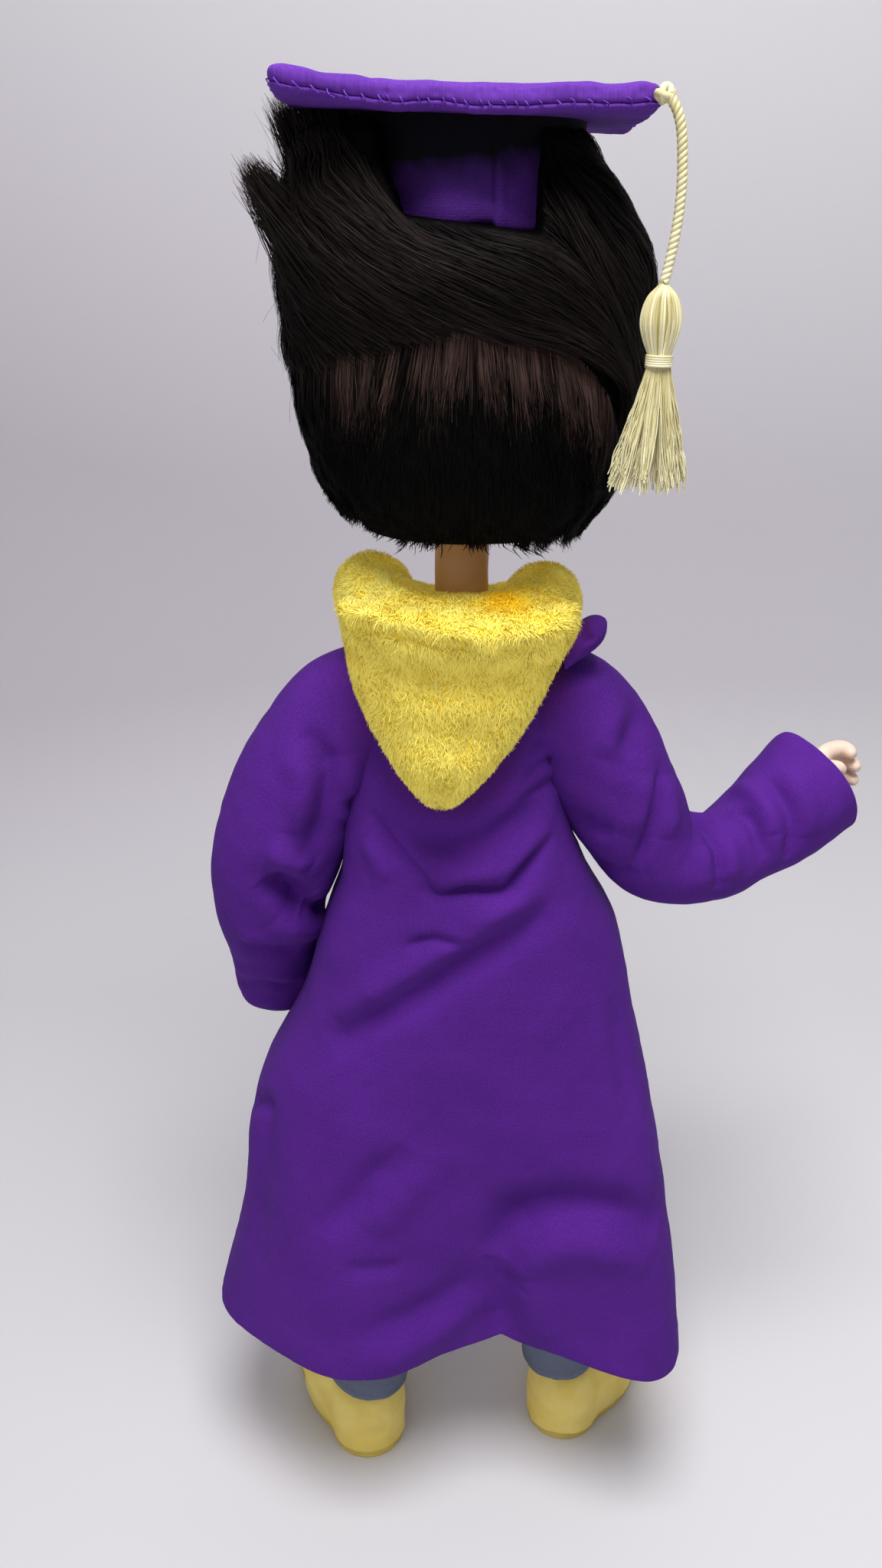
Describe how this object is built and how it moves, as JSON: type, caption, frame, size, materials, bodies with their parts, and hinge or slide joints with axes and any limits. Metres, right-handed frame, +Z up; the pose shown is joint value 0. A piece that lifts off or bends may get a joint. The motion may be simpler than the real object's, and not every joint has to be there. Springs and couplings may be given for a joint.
{
  "type": "graduation doll",
  "caption": "Handmade cloth doll in a purple graduation gown with a fluffy hood and a soft square cap with a tassel; arms, hands, legs and head turn on joints.",
  "frame": {"origin": "middle of the doll's footprint, on the floor under its soles, without the hanging tassel", "axes": "+Z up; the doll faces -Y; its own left hand is at +X"},
  "size_m": [0.1912, 0.0913, 0.4121],
  "materials": {
    "gown_cloth": "matt crepe weave",
    "plush": "short fluffy pile",
    "hair_fur": "long swept pile, soft sheen",
    "skin": "smooth stretched knit",
    "pale_skin": "smooth stretched knit",
    "denim": "washed denim",
    "shoe_foam": "matt foam",
    "sole": "matt foam sheet",
    "satin_thread": "satin sheen",
    "stuffing": "plain stuffed cotton",
    "steel": "drawn wire",
    "card": "plain board",
    "eye_gloss": "polished bead"
  },
  "bodies": {
    "torso": {"torso_core": "stuffing", "shoulder_bar": "steel", "hip_bar": "steel", "pelvis_block": "denim", "gown_body": "gown_cloth", "gown_front_band": "gown_cloth", "zip_pull": "steel", "hood": "plush", "hood_front_band": "plush", "shoulder_flap": "gown_cloth"},
    "head": {"neck_post": "skin", "head_shell": "skin", "eye_left": "eye_gloss", "eye_right": "eye_gloss", "hair_nape": "hair_fur", "hair_crown": "hair_fur", "hair_fringe": "hair_fur"},
    "cap": {"cap_band": "gown_cloth", "board_top_cover": "gown_cloth", "board_card": "card", "board_under_cover": "gown_cloth", "cap_button": "gown_cloth", "tassel_knot": "satin_thread"},
    "tassel": {"tassel_cord": "satin_thread", "tassel_head": "satin_thread", "tassel_binding": "satin_thread", "tassel_skirt": "satin_thread"},
    "upper_arm_left": {"upper_arm_left": "skin", "elbow_pin_left": "steel", "sleeve_upper_left": "gown_cloth"},
    "forearm_left": {"forearm_left": "skin", "sleeve_lower_left": "gown_cloth"},
    "hand_left": {"hand_left": "pale_skin"},
    "leg_left": {"leg_left": "stuffing", "jeans_leg_left": "denim", "jeans_cuff_left": "denim", "shoe_upper_left": "shoe_foam", "shoe_sole_left": "sole"},
    "upper_arm_right": {"upper_arm_right": "skin", "elbow_pin_right": "steel", "sleeve_upper_right": "gown_cloth"},
    "forearm_right": {"forearm_right": "skin", "sleeve_lower_right": "gown_cloth"},
    "hand_right": {"hand_right": "pale_skin"},
    "leg_right": {"leg_right": "stuffing", "jeans_leg_right": "denim", "jeans_cuff_right": "denim", "shoe_upper_right": "shoe_foam", "shoe_sole_right": "sole"}
  },
  "joints": [
    {"name": "head_turn", "type": "hinge", "parent": "torso", "child": "head", "pos_m": [0.02012, 0.00094, 0.29], "axis": [0, 0, 1], "range_deg": [-45, 45]},
    {"name": "cap_lift", "type": "slide", "parent": "head", "child": "cap", "axis": [0, 0, 1], "range_m": [0, 0.06]},
    {"name": "tassel_swing", "type": "hinge", "parent": "cap", "child": "tassel", "pos_m": [-0.01548, 0.04154, 0.4024], "axis": [0.7317, 0.6816, 0], "range_deg": [0, 55]},
    {"name": "shoulder_left", "type": "hinge", "parent": "torso", "child": "upper_arm_left", "pos_m": [0.05162, 0.00094, 0.262], "axis": [-1, 0, 0], "range_deg": [0, 70]},
    {"name": "shoulder_right", "type": "hinge", "parent": "torso", "child": "upper_arm_right", "pos_m": [-0.01138, 0.00094, 0.262], "axis": [-1, 0, 0], "range_deg": [-30, 60]},
    {"name": "elbow_left", "type": "hinge", "parent": "upper_arm_left", "child": "forearm_left", "pos_m": [0.07612, 0.00094, 0.21405], "axis": [-1, 0, 0], "range_deg": [0, 60]},
    {"name": "elbow_right", "type": "hinge", "parent": "upper_arm_right", "child": "forearm_right", "pos_m": [-0.03738, 0.00094, 0.21903], "axis": [-0.3826, 0.8944, 0.2315], "range_deg": [-50, 25]},
    {"name": "wrist_left", "type": "hinge", "parent": "forearm_left", "child": "hand_left", "pos_m": [0.0772, -0.01634, 0.18199], "axis": [0.0296, -0.4742, -0.8799], "range_deg": [-30, 30]},
    {"name": "wrist_right", "type": "hinge", "parent": "forearm_right", "child": "hand_right", "pos_m": [-0.07392, -0.01754, 0.23004], "axis": [-0.8618, -0.4358, 0.2595], "range_deg": [-30, 30]},
    {"name": "hip_left", "type": "hinge", "parent": "torso", "child": "leg_left", "pos_m": [0.03662, 0.00094, 0.132], "axis": [-1, 0, 0], "range_deg": [-15, 15]},
    {"name": "hip_right", "type": "hinge", "parent": "torso", "child": "leg_right", "pos_m": [0.00362, 0.00094, 0.132], "axis": [-1, 0, 0], "range_deg": [-15, 15]}
  ]
}
